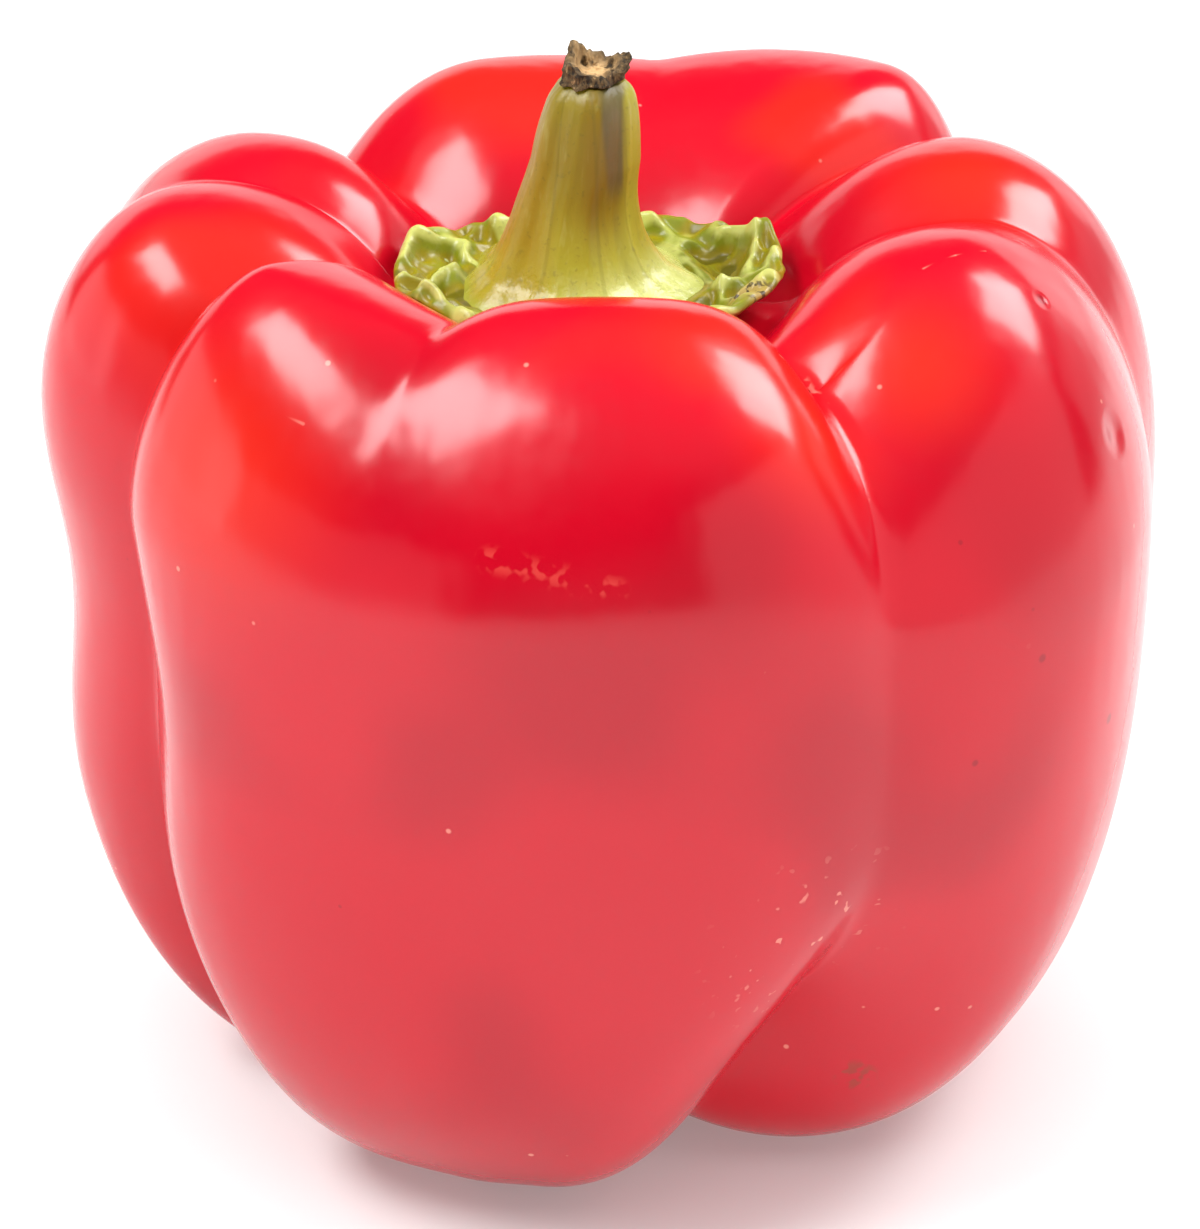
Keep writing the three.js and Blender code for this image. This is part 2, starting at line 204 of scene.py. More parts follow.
class Wave:
    """A shader socket that Python's arithmetic works on."""

    def __init__(self, bench: "Bench", socket: bpy.types.NodeSocket) -> None:
        """Keep the socket and the bench that its nodes are made on."""
        self.bench = bench
        self.socket = socket

    def _math(self, operation: str, first: "Wave | Number", second: "Wave | Number") -> "Wave":
        """Add a Math node for two values."""
        return self.bench.make("ShaderNodeMath", {"operation": operation}, {0: first, 1: second})

    def __add__(self, other: "Wave | Number") -> "Wave":
        """Return the sum."""
        return self._math("ADD", self, other)

    __radd__ = __add__

    def __sub__(self, other: "Wave | Number") -> "Wave":
        """Return this minus the other."""
        return self._math("SUBTRACT", self, other)

    def __rsub__(self, other: "Wave | Number") -> "Wave":
        """Return the other minus this."""
        return self._math("SUBTRACT", other, self)

    def __mul__(self, other: "Wave | Number") -> "Wave":
        """Return the product."""
        return self._math("MULTIPLY", self, other)

    __rmul__ = __mul__

    def __truediv__(self, other: "Wave | Number") -> "Wave":
        """Return this divided by the other."""
        return self._math("DIVIDE", self, other)

    def __rtruediv__(self, other: "Wave | Number") -> "Wave":
        """Return the other divided by this."""
        return self._math("DIVIDE", other, self)

    def __pow__(self, other: "Wave | Number") -> "Wave":
        """Return this to a power."""
        return self._math("POWER", self, other)

    def size(self) -> "Wave":
        """Return the value without its sign."""
        return self._math("ABSOLUTE", self, 0.0)

    def smaller(self, other: "Wave | Number") -> "Wave":
        """Return the smaller of two values."""
        return self._math("MINIMUM", self, other)

    def larger(self, other: "Wave | Number") -> "Wave":
        """Return the larger of two values."""
        return self._math("MAXIMUM", self, other)

    def angle_to(self, other: "Wave | Number") -> "Wave":
        """Return the angle of the point (other, this), in radians."""
        return self._math("ARCTAN2", self, other)

    def fade(self, start: Number, end: Number) -> "Wave":
        """Return 0 at start and 1 at end, eased between them."""
        settings = {"interpolation_type": "SMOOTHSTEP"}
        if start < end:
            return self.bench.make("ShaderNodeMapRange", settings, {0: self, 1: start, 2: end})
        ends = {0: self, 1: end, 2: start, 3: 1.0, 4: 0.0}
        return self.bench.make("ShaderNodeMapRange", settings, ends)


Colour = tuple[float, float, float, float]


def tint(red: Number, green: Number, blue: Number) -> Colour:
    """Turn a screen colour from 0 to 255 into linear light.

    Returns:
        The linear colour with full cover.
    """
    def linear(level: float) -> float:
        """Turn one channel."""
        share = level / 255.0
        return share / 12.92 if share <= 0.04045 else ((share + 0.055) / 1.055) ** 2.4

    return (linear(red), linear(green), linear(blue), 1.0)


class Bench:
    """A material being made, with the one method that makes any of its nodes."""

    def __init__(self, name: str) -> None:
        """Start an empty node material."""
        self.material = bpy.data.materials.new(name)
        self.material.use_nodes = True
        self.tree = self.material.node_tree
        self.tree.nodes.clear()
        self.place = self.make("ShaderNodeTexCoord", {}, {}, "Object")

    def make(
        self,
        kind: str,
        settings: dict[str, object],
        inputs: dict[int | str, object],
        output: int | str = 0,
    ) -> Wave:
        """Make a node.

        Args:
            kind: Blender's name of the node.
            settings: What is set on the node first; "stops" gives a ramp's places and colours.
            inputs: Values or waves for its sockets, by number or name.
            output: Which output is wanted.

        Returns:
            The wanted output.
        """
        node = self.tree.nodes.new(kind)
        for key, value in settings.items():
            if key == "stops":
                self._set_stops(node.color_ramp, value)
            else:
                setattr(node, key, value)
        for key, value in inputs.items():
            if isinstance(value, Wave):
                self.tree.links.new(value.socket, node.inputs[key])
            else:
                node.inputs[key].default_value = value
        return Wave(self, node.outputs[output])

    @staticmethod
    def _set_stops(ramp: bpy.types.ColorRamp, stops: Sequence[tuple[float, Colour]]) -> None:
        """Give a colour ramp its stops."""
        while len(ramp.elements) < len(stops):
            ramp.elements.new(1.0)
        for element, (position, colour) in zip(ramp.elements, stops):
            element.position = position
            element.color = colour

    def axes(self, source: Wave | None = None) -> tuple[Wave, Wave, Wave]:
        """Return the three numbers of a vector, the object's place by default."""
        split = self.make("ShaderNodeSeparateXYZ", {}, {0: source or self.place})
        outputs = split.socket.node.outputs
        return tuple(Wave(self, outputs[i]) for i in range(3))

    def stretched(self, along: tuple[float, float, float]) -> Wave:
        """Return the object's place scaled by a number for each axis."""
        return self.make("ShaderNodeMapping", {}, {"Vector": self.place, "Scale": along})

    def cloud(self, scale: float, detail: float = 3.0, rough: float = 0.5, where: Wave | None = None) -> Wave:
        """Return noise from 0 to 1.

        Args:
            scale: Features for each metre.
            detail: Octaves of finer noise.
            rough: Weight of the finer noise.
            where: Coordinates; the object's place by default.

        Returns:
            The noise.
        """
        inputs = {"Vector": where or self.place, "Scale": scale, "Detail": detail, "Roughness": rough}
        return self.make("ShaderNodeTexNoise", {"noise_dimensions": "3D"}, inputs, "Fac")

    def cells(self, scale: float, feature: str = "F1", where: Wave | None = None) -> tuple[Wave, Wave]:
        """Return the distance to the nearest cell point, and a number for each cell."""
        inputs = {"Vector": where or self.place, "Scale": scale}
        near = self.make("ShaderNodeTexVoronoi", {"feature": feature}, inputs, "Distance")
        if feature == "DISTANCE_TO_EDGE":
            return near, near
        shade = Wave(self, near.socket.node.outputs["Color"])
        return near, self.axes(shade)[0]

    def near(self, centre: Sequence[float], radius: float, soft: float = 0.5) -> Wave:
        """Return 1 within a ball round a place and 0 outside it.

        Args:
            centre: Centre in millimetres of the part's frame.
            radius: Radius in millimetres.
            soft: Share of the radius over which the ball fades out.

        Returns:
            The mask.
        """
        middle = tuple(c * MM for c in centre)
        apart = self.make("ShaderNodeVectorMath", {"operation": "DISTANCE"}, {0: self.place, 1: middle}, "Value")
        return apart.fade(radius * MM, radius * MM * (1.0 - soft))

    def stroke(self, start: Sequence[float], end: Sequence[float], width: float, soft: float = 0.6) -> Wave:
        """Return 1 on a thin straight line between two places.

        Args:
            start: One end in millimetres of the part's frame.
            end: The other end.
            width: Half the width of the line in millimetres.
            soft: Share of that over which the line fades out.

        Returns:
            The mask.
        """
        first = Vector(start) * MM
        along = Vector(end) * MM - first
        offset = self.make("ShaderNodeVectorMath", {"operation": "SUBTRACT"}, {0: self.place, 1: first}, "Vector")
        product = {0: offset, 1: along / along.length_squared}
        share = self.make("ShaderNodeVectorMath", {"operation": "DOT_PRODUCT"}, product, "Value")
        held = share.larger(0.0).smaller(1.0)
        foot = self.make("ShaderNodeVectorMath", {"operation": "SCALE"}, {0: tuple(along), "Scale": held}, "Vector")
        apart = self.make("ShaderNodeVectorMath", {"operation": "DISTANCE"}, {0: offset, 1: foot}, "Value")
        return apart.fade(width * MM, width * MM * (1.0 - soft))

    def blend(self, first: Wave | Colour, second: Wave | Colour, share: Wave | Number, way: str = "MIX") -> Wave:
        """Mix two colours.

        Args:
            first: The colour at share 0.
            second: The colour at share 1.
            share: How much of the second.
            way: Blending mode.

        Returns:
            The mixed colour.
        """
        settings = {"data_type": "RGBA", "blend_type": way, "clamp_factor": True}
        return self.make("ShaderNodeMix", settings, {0: share, 6: first, 7: second}, 2)

    def ramp(self, share: Wave, stops: Sequence[tuple[float, Colour]]) -> Wave:
        """Return a colour ramp's colour."""
        return self.make("ShaderNodeValToRGB", {"stops": stops}, {0: share}, "Color")

    def relief(self, height: Wave, depth: float, strength: float = 1.0, under: Wave | None = None) -> Wave:
        """Return a normal bent by a height.

        Args:
            height: The height from 0 to 1.
            depth: What a height of 1 stands for, in millimetres.
            strength: Strength of the bump.
            under: A normal that is bent already.

        Returns:
            The normal.
        """
        inputs = {"Height": height, "Distance": depth * MM, "Strength": strength}
        if under is not None:
            inputs["Normal"] = under
        return self.make("ShaderNodeBump", {}, inputs, "Normal")

    def finish(self, inputs: dict[int | str, object]) -> bpy.types.Material:
        """Set the shader and the output.

        Args:
            inputs: Values or waves for the Principled BSDF.

        Returns:
            The material.
        """
        shader = self.make("ShaderNodeBsdfPrincipled", {}, inputs, "BSDF")
        self.make_output(shader)
        return self.material

    def make_output(self, shader: Wave) -> None:
        """Link a shader to the material's output."""
        node = self.tree.nodes.new("ShaderNodeOutputMaterial")
        self.tree.links.new(shader.socket, node.inputs["Surface"])


# Finishes


Place = tuple[float, float, float]


@dataclass(frozen=True)
class SkinFinish:
    """Waxy red skin with orange patches, fine wrinkles, specks and a few rub marks.

    The marks are given by their places in millimetres of the part's frame.
    """

    red: Colour = tint(198, 2, 30)
    crimson: Colour = tint(180, 0, 27)
    orange: Colour = tint(216, 40, 14)
    pale: Colour = tint(240, 150, 132)
    rub: Colour = tint(214, 70, 62)
    spot: Colour = tint(126, 0, 22)
    scar_brown: Colour = tint(120, 66, 38)
    roughness: float = 0.165
    patches: tuple[tuple[Place, float], ...] = (
        ((-30.5, -28.5, 69.5), 17.0),
        ((15.1, -31.5, 73.5), 10.0),
        ((24.2, -22.5, 75.0), 9.0),
        ((30.1, 3.6, 80.0), 12.0),
        ((-36.0, 16.0, 72.0), 12.0),
    )
    rub_line: tuple[Place, ...] = (
        (15.6, -21.5, 73.8),
        (17.7, -25.5, 72.0),
        (19.2, -29.1, 69.4),
        (20.1, -30.9, 67.6),
    )
    scratches: tuple[tuple[Place, Place, float], ...] = (
        ((25.0, -15.3, 80.4), (27.6, -13.8, 80.9), 0.16),
        ((27.6, -13.8, 80.9), (30.1, -12.2, 80.6), 0.14),
        ((13.4, -25.4, 77.4), (14.1, -24.9, 76.9), 0.2),
        ((-24.6, -29.6, 74.2), (-23.2, -30.6, 74.0), 0.2),
    )
    dark_spots: tuple[tuple[Place, float], ...] = (
        ((34.3, -30.3, 53.6), 0.5),
        ((40.7, -22.6, 44.1), 0.6),
        ((29.0, -33.5, 46.0), 0.4),
        ((34.5, -14.5, 77.4), 0.7),
    )

    def colour(self, bench: Bench) -> Wave:
        """Return the red with its drifts of orange and crimson."""
        _, _, height = bench.axes()
        drift = bench.cloud(42.0, 1.0, 0.5)
        skin = bench.blend(self.crimson, self.red, drift.fade(0.3, 0.55))
        patch = height.fade(0.06, 0.08) * drift.fade(0.56, 0.68) * 0.6
        for centre, radius in self.patches:
            patch = patch.larger(bench.near(centre, radius, 0.95) * 0.75)
        return bench.blend(skin, self.orange, patch)

    def marks(self, bench: Bench, skin: Wave, rough: Wave) -> Wave:
        """Lay the specks, scuffs, scratches and the blossom scar over the skin's colour.

        Args:
            bench: The material's bench.
            skin: The colour so far.
            rough: Fine noise that breaks the marks up.

        Returns:
            The marked colour.
        """
        near, number = bench.cells(330.0)
        skin = bench.blend(skin, self.pale, near.fade(0.1, 0.05) * number.fade(0.9, 0.92) * 0.7)
        skin = bench.blend(skin, self.spot, near.fade(0.09, 0.04) * number.fade(0.07, 0.05) * 0.5)
        low_right = bench.near((16.0, -37.5, 32.5), 11.0, 0.9)
        skin = bench.blend(skin, self.pale, rough.fade(0.66, 0.71) * low_right * 0.8)
        broken = rough.fade(0.5, 0.6)
        scuff = bench.stroke((-8.8, -41.1, 67.6), (0.6, -43.2, 66.1), 1.4, 0.9)
        skin = bench.blend(skin, self.rub, scuff * broken * 0.7)
        for start, end in zip(self.rub_line, self.rub_line[1:]):
            skin = bench.blend(skin, self.pale, bench.stroke(start, end, 0.5, 0.9) * broken * 0.5)
        for start, end, width in self.scratches:
            skin = bench.blend(skin, self.pale, bench.stroke(start, end, width) * 0.45)
        for centre, radius in self.dark_spots:
            skin = bench.blend(skin, self.spot, bench.near(centre, radius, 0.6) * 0.6)
        foot_mark = bench.near((20.8, -26.1, 12.3), 2.2, 0.5) * broken
        skin = bench.blend(skin, self.scar_brown, foot_mark * 0.45)
        _, _, height = bench.axes()
        scar = bench.near((-0.5, -1.5, 10.3), 3.4, 0.4) * height.fade(0.014, 0.012)
        return bench.blend(skin, self.scar_brown, scar)

    def material(self) -> bpy.types.Material:
        """Make the material; its relief is worked out in millimetres."""
        bench = Bench("pepper_skin")
        rough = bench.cloud(900.0, 1.0, 0.6)
        skin = self.marks(bench, self.colour(bench), rough)
        wrinkles = bench.cloud(1.0, 0.0, 0.6, bench.stretched((560.0, 560.0, 230.0)))
        height = wrinkles * 0.035 + bench.cloud(210.0, 0.0, 0.5) * 0.04
        height = height - bench.near((40.5, -17.8, 67.2), 2.4, 1.0) * 0.35
        height = height - bench.near((34.5, -14.5, 77.4), 1.1, 1.0) * 0.12
        return bench.finish({
            "Base Color": skin,
            "Roughness": self.roughness + rough * 0.06,
            "IOR": 1.5,
            "Normal": bench.relief(height, 1.0, 1.0),
        })


@dataclass(frozen=True)
class CalyxFinish:
    """Crumpled olive green with yellow hollows and a dried speckled corner; painted shade darkens the bottoms of
    the hollows, and the paler folds carry painted highlight as well as their own paler green.
    """

    green: Colour = tint(124, 130, 20)
    # Fold: the folds' own paler green, also laid on the raised folds as painted highlight
    fold: Colour = tint(196, 200, 108)
    hollow: Colour = tint(140, 126, 8)
    # Deep: painted shade for the bottoms of the hollows, also used for fine random dark flecks
    deep: Colour = tint(104, 96, 6)
    dried: Colour = tint(170, 142, 76)
    dark: Colour = tint(48, 36, 20)
    dried_corner: Place = (11.9, -8.0, 74.4)

    def material(self) -> bpy.types.Material:
        """Make the material; "quilt" runs from 0 in a hollow to 1 on a fold."""
        bench = Bench("calyx_green")
        quilt = bench.make("ShaderNodeAttribute", {"attribute_name": "quilt"}, {}, "Fac")
        patch = bench.cloud(280.0, 2.0, 0.6)
        fine = bench.cloud(1200.0, 2.0, 0.6)
        # Painted shade: the lowest part of each hollow is darkened by the quilt height
        body = bench.blend(self.deep, self.hollow, quilt.fade(0.0, 0.12))
        body = bench.blend(body, self.green, quilt.fade(0.2, 0.5) * patch.fade(0.3, 0.5))
        # Painted highlight together with the folds' own paler green: the raised folds are lightened by the quilt
        # height
        body = bench.blend(body, self.fold, quilt.fade(0.55, 0.9) * 0.85)
        body = bench.blend(body, self.fold, patch.fade(0.62, 0.74) * 0.4)
        body = bench.blend(body, self.deep, fine.fade(0.58, 0.72) * 0.3)
        dry = bench.near(self.dried_corner, 3.0, 0.6)
        body = bench.blend(body, self.dried, dry * 0.85)
        body = bench.blend(body, self.dark, fine.fade(0.54, 0.6) * dry * 0.9)
        return bench.finish({
            "Base Color": body,
            "Roughness": 0.24 + fine * 0.16,
            "IOR": 1.45,
            "Normal": bench.relief(fine * 0.05 + patch * 0.15, 1.0, 1.0),
        })


@dataclass(frozen=True)
class StemFinish:
    """Olive and yellow-green stalk with faint lengthwise lines and a dark stain under its tip; its right side is
    painted lighter as painted light, and a painted highlight sits on the flare at its foot.
    """

    green: Colour = tint(134, 118, 14)
    # Fresher green: the lower stalk's own colour, and painted light on the right side
    fresh_and_lit_side: Colour = tint(168, 164, 46)
    # Pale: painted highlight on the flare at the foot, and faint pale streaks
    pale: Colour = tint(212, 220, 138)
    ochre: Colour = tint(126, 98, 12)
    amber: Colour = tint(160, 130, 22)
    foot: Colour = tint(158, 162, 64)
    line: Colour = tint(96, 92, 28)
    stain: Colour = tint(92, 84, 52)
    rib_angles: tuple[float, ...] = (-2.05, -1.3, -0.62, 0.9, 2.6, -2.9)

    def material(self) -> bpy.types.Material:
        """Make the material."""
        bench = Bench("stem_green")
        x, y, height = bench.axes()
        streaks = bench.cloud(1.0, 2.0, 0.6, bench.stretched((1100.0, 1100.0, 60.0)))
        broad = bench.cloud(1.0, 1.0, 0.5, bench.stretched((230.0, 230.0, 32.0)))
        fine = bench.cloud(1500.0, 2.0, 0.6)
        body = bench.blend(self.green, self.fresh_and_lit_side, height.fade(0.085, 0.0765))
        # Painted light: the right side of the stalk is made lighter
        body = bench.blend(body, self.fresh_and_lit_side, (x - 0.0005).fade(0.0, 0.0018) * 0.8)
        middle = (x + 0.0004).size().fade(0.0022, 0.0006) * height.fade(0.0775, 0.0825)
        body = bench.blend(body, self.ochre, middle * 0.6)
        body = bench.blend(body, self.ochre, broad.fade(0.5, 0.66) * height.fade(0.074, 0.08) * 0.25)
        # Painted highlight: pale gloss on the flare low down, right of the middle
        body = bench.blend(body, self.pale, height.fade(0.0775, 0.0742) * (x + 0.004).fade(-0.001, 0.003) * 0.6)
        body = bench.blend(body, self.amber, (x + 0.0045).fade(0.0008, -0.0015) * 0.55)
        body = bench.blend(body, self.foot, height.fade(0.0744, 0.0735) * 0.7)
        body = bench.blend(body, self.line, streaks.fade(0.55, 0.7) * 0.12)
        body = bench.blend(body, self.pale, streaks.fade(0.42, 0.3) * 0.1)
        side = (y + 0.0015).angle_to(x + 0.0021)
        for angle in self.rib_angles:
            mark = (side - angle).size().fade(0.045, 0.012)
            body = bench.blend(body, self.line, mark * height.fade(0.0725, 0.0745) * 0.22)
        edge = (broad - 0.5) * 0.004
        stain = (x - 0.00035 + edge).size().fade(0.0011, 0.0005) * height.fade(0.0812, 0.084) * (0.0 - y).fade(0.002, 0.0035)
        body = bench.blend(body, self.stain, stain * 0.8)
        body = bench.blend(body, self.line, fine.fade(0.6, 0.72) * 0.3)
        return bench.finish({
            "Base Color": body,
            "Roughness": 0.3 - height.fade(0.08, 0.0745) * 0.14 + fine * 0.2,
            "IOR": 1.45,
            "Normal": bench.relief(streaks * 0.05 + fine * 0.04, 1.0, 1.0),
        })


@dataclass(frozen=True)
class TornFinish:
    """Dry corky brown with tan inner faces and dark cracks."""

    brown: Colour = tint(96, 74, 44)
    tan: Colour = tint(206, 168, 116)
    dark: Colour = tint(40, 30, 16)

    def material(self) -> bpy.types.Material:
        """Make the material."""
        bench = Bench("torn_brown")
        inner = bench.make("ShaderNodeAttribute", {"attribute_name": "inner"}, {}, "Fac")
        grain = bench.cloud(1.0, 3.0, 0.7, bench.stretched((2600.0, 2600.0, 1000.0)))
        body = bench.blend(self.dark, self.brown, grain.fade(0.38, 0.58))
        body = bench.blend(body, self.tan, inner * bench.cloud(800.0, 2.0, 0.6).fade(0.38, 0.5))
        body = bench.blend(body, self.tan, grain.fade(0.6, 0.7) * 0.6)
        return bench.finish({
            "Base Color": body,
            "Roughness": 0.7 + grain * 0.2,
            "IOR": 1.4,
            "Normal": bench.relief(grain * 0.3, 1.0, 0.9),
        })


# Fruit


class Stretch(Enum):
    """The stretches of a meridian, from the seat under the calyx to the hollow underneath."""

    SEAT = 0
    WALL = 1
    SHOULDER = 2
    FLANK = 3
    SOLE = 4


@dataclass(frozen=True)
class Ridge:
    """A rounded ridge of a lobe.

    Attributes:
        at: Angle at the crest, the belly and the foot, in degrees.
        seat: Radius of the seat's edge, in millimetres.
        crest: Radius and height of the crest.
        belly: Radius and height of the widest place.
        foot: Radius and height of the lowest place.
        shoulder: Fullness of the curve above the belly.
        flank: Fullness of the curve below it.
        round: How broad the ridge is at the crest, the belly and the foot.
    """

    at: tuple[float, float, float]
    seat: float
    crest: tuple[float, float]
    belly: tuple[float, float]
    foot: tuple[float, float]
    shoulder: float = 2.1
    flank: float = 2.4
    round: tuple[float, float, float] = (2.5, 2.5, 2.5)


@dataclass(frozen=True)
class Crease:
    """The crease that follows a ridge.

    Attributes:
        at: Angle at the top, the belly and the foot, in degrees.
        deep: Depth at the top, the belly and the foot, in millimetres.
        soft: Softness there, from 0 for a sharp crease to 1 for a wave.
    """

    at: tuple[float, float, float]
    deep: tuple[float, float, float]
    soft: tuple[float, float, float]


@dataclass(frozen=True)
class Dent:
    """A shallow hollow in the side, or a swelling where its depth is below zero."""

    at: float
    height: float
    wide: float
    tall: float
    deep: float


@dataclass
class Fruit:
    """The lobed fruit: eight ridges in four lobes, with a sunken top and a hollow underneath."""

    seat_level: float = 72.0
    seat_shift: float = -1.0
    blossom_hollow: float = 11.0
    scar_radius: float = 2.6
    scar_rise: float = 0.7
    flank_columns: int = 12
    marks: tuple[float, ...] = (0.0, 0.08, 0.25, 0.45, 0.85, 1.0)
    row_counts: tuple[int, ...] = (6, 14, 18, 34, 16)
    ridges: tuple[Ridge, ...] = (
        Ridge((-147.9, -145, -128), 15.2, (30.1, 81.6), (43.2, 61.1), (18.6, 0.9), 1.68, 2.76, (2.3, 2.3, 2.3)),
        Ridge((-88.5, -83, -104), 15.0, (24.7, 81.9), (42.8, 60.8), (15.5, -0.2), 1.74, 2.58, (5.1, 3.4, 2.4)),
        Ridge((-18.6, -25, -32), 16.4, (29.8, 81.3), (46.7, 56.0), (16.8, -0.4), 1.72, 2.4, (2.1, 2.1, 2.1)),
        Ridge((17, 13, 10), 16.8, (31.6, 81.5), (48.5, 53.1), (23.5, 2.0), 2.18, 2.88),
        Ridge((51.4, 56, 60), 14.4, (36.5, 81.4), (49.3, 55.8), (21.4, -0.4), 2.42, 2.3),
        Ridge((106.7, 105.8, 105), 12.9, (30.2, 81.8), (44.6, 53.9), (21.4, 0.9), 2.1, 2.3),
        Ridge((155.9, 152.3, 150), 16.4, (29.7, 80.8), (47.4, 58.4), (19.5, 0.9), 2.35, 2.5),
        Ridge((178.1, 179.1, 190), 16.6, (33.4, 80.7), (47.8, 55.2), (17.6, -0.2), 2.12, 2.38),
    )
    creases: tuple[Crease, ...] = (
        Crease((-118.6, -118, -112), (3.0, 0.9, 0.0), (0.19, 1.0, 1.0)),
        Crease((-51.7, -57, -72), (9.2, 2.8, 11.5), (0.13, 0.35, 0.2)),
        Crease((0.8, 0, -10), (2.7, 1.6, 0.9), (0.31, 0.6, 0.9)),
        Crease((40.1, 37, 38), (6.0, 3.7, 9.0), (0.1, 0.5, 0.3)),
        Crease((81.4, 84, 82), (1.7, 0.9, 1.4), (0.1, 0.9, 0.9)),
        Crease((135, 130, 128), (8.3, 3.7, 9.0), (0.1, 0.5, 0.3)),
        Crease((168, 168, 168), (1.1, 0.9, 1.4), (0.2, 0.9, 0.9)),
        Crease((200, 198, 196), (7.4, 4.7, 9.5), (0.1, 0.3, 0.2)),
    )
    dents: tuple[Dent, ...] = (
        Dent(184, 47.3, 14, 9.4, 3.0),
        Dent(-153, 45.0, 6, 9, 1.3),
        Dent(-68, 76.0, 9, 5, -1.0),
        Dent(-100, 76.0, 8, 5, 0.7),
        Dent(-136, 75.0, 8, 5, 0.2),
        Dent(-38, 76.0, 8, 5, -0.2),
        Dent(-12, 76.0, 8, 5, -0.4),
    )
    shares: list[float] = field(default_factory=list)
    highs: list[list[tuple[float, float]]] = field(default_factory=list)
    sunks: list[list[tuple[float, float]]] = field(default_factory=list)

    def prepare(self) -> None:
        """Work out the rows, the ridges' meridians and the creases' meridians."""
        for stretch, count in zip(Stretch, self.row_counts):
            start, end = self.marks[stretch.value], self.marks[stretch.value + 1]
            self.shares += [start + (end - start) * i / count for i in range(count)]
        self.shares.append(1.0)
        self.highs = [self.ridge_meridian(ridge) for ridge in self.ridges]
        for index, crease in enumerate(self.creases):
            following = self.highs[(index + 1) % len(self.ridges)]
            self.sunks.append(self.crease_meridian(crease, self.highs[index], following))

    def ridge_point(self, ridge: Ridge, stretch: Stretch, x: float) -> tuple[float, float]:
        """Return a point of a ridge's meridian.

        Args:
            ridge: The ridge.
            stretch: The stretch that the point lies on.
            x: Share of that stretch.

        Returns:
            Radius and height in millimetres.
        """
        crest_r, crest_z = ridge.crest
        belly_r, belly_z = ridge.belly
        foot_r, foot_z = ridge.foot
        quarter = x * math.pi / 2
        if stretch is Stretch.SEAT:
            return (ridge.seat * x, self.seat_level)
        if stretch is Stretch.WALL:
            wide, high = crest_r - ridge.seat, crest_z - self.seat_level
            steep = 2 * math.atan2(high, wide)
            slope = steep * (1 - x)
            r = crest_r - wide * math.sin(slope) / math.sin(steep)
            return (r, crest_z - high * (1 - math.cos(slope)) / (1 - math.cos(steep)))
        if stretch is Stretch.SHOULDER:
            power = 2 / ridge.shoulder
            r = crest_r + (belly_r - crest_r) * math.sin(quarter) ** power
            return (r, belly_z + (crest_z - belly_z) * math.cos(quarter) ** power)
        if stretch is Stretch.FLANK:
            power = 2 / ridge.flank
            r = foot_r + (belly_r - foot_r) * math.cos(quarter) ** power
            return (r, belly_z - (belly_z - foot_z) * math.sin(quarter) ** power)
        rise = (1 - math.cos(math.pi * x)) / 2
        return (foot_r * (1 - x), foot_z + (self.blossom_hollow - foot_z) * rise)

    def ridge_meridian(self, ridge: Ridge) -> list[tuple[float, float]]:
        """Return all points of a ridge's meridian."""
        points = [
            self.ridge_point(ridge, stretch, i / count)
            for stretch, count in zip(Stretch, self.row_counts)
            for i in range(count)
        ]
        points.append(self.ridge_point(ridge, Stretch.SOLE, 1.0))
        return points

    def crease_meridian(
        self,
        crease: Crease,
        left: Sequence[tuple[float, float]],
        right: Sequence[tuple[float, float]],
    ) -> list[tuple[float, float]]:
        """Return a crease's meridian: the mean of its ridges, sunk by its depth.

        Args:
            crease: The crease.
            left: Meridian of the ridge before it.
            right: Meridian of the ridge after it.

        Returns:
            Its points.
        """
        mean = [((a[0] + b[0]) / 2, (a[1] + b[1]) / 2) for a, b in zip(left, right)]
        top, middle, low = crease.deep
        marks, levels = (0, 0.25, 0.5, 0.66, 0.84, 1), (0, top, middle, low, 0.45 * low, 0)
        last = len(mean) - 1
        points = []
        for row, (r, z) in enumerate(mean):
            before, after = mean[max(row - 1, 0)], mean[min(row + 1, last)]
            along = (after[0] - before[0], after[1] - before[1])
            length = math.hypot(*along)
            depth = eased_levels(marks, levels, self.shares[row]) / length
            inner = 0.0 if row in (0, last) else max(r + along[1] * depth, 0.0)
            points.append((inner, z - along[0] * depth))
        return points

    def undulation(self, x: float, y: float, z: float) -> float:
        """Return the slight unevenness of the skin, in millimetres."""
        return 0.1 * perlin(x, y, z + 40, 13.0) + 0.045 * perlin(x, y + 9, z, 5.5)

    def place(self, column: int, row: int) -> Vector:
        """Return a point of the skin.

        Args:
            column: Column round the fruit.
            row: Row along the meridian.

        Returns:
            Its place in metres.
        """
        index, step = divmod(column, 2 * self.flank_columns)
        following = (index + 1) % len(self.ridges)
        past = step >= self.flank_columns
        ridge = self.ridges[following if past else index]
        s = 2 - step / self.flank_columns if past else step / self.flank_columns
        share = self.shares[row]
        crease = self.creases[index]
        sharp = 1 - s ** self.along(ridge.round, share)
        wavy = (1 + math.cos(math.pi * s)) / 2
        weight = sharp + (wavy - sharp) * self.along(crease.soft, share)
        low, high = self.sunks[index][row], self.highs[following if past else index][row]
        start = self.along(ridge.at, share)
        angle = start + turn_between(start, self.along(crease.at, share)) * s
        r = low[0] + (high[0] - low[0]) * weight
        z = low[1] + (high[1] - low[1]) * weight
        return self.skin_point(angle, r, z, share)

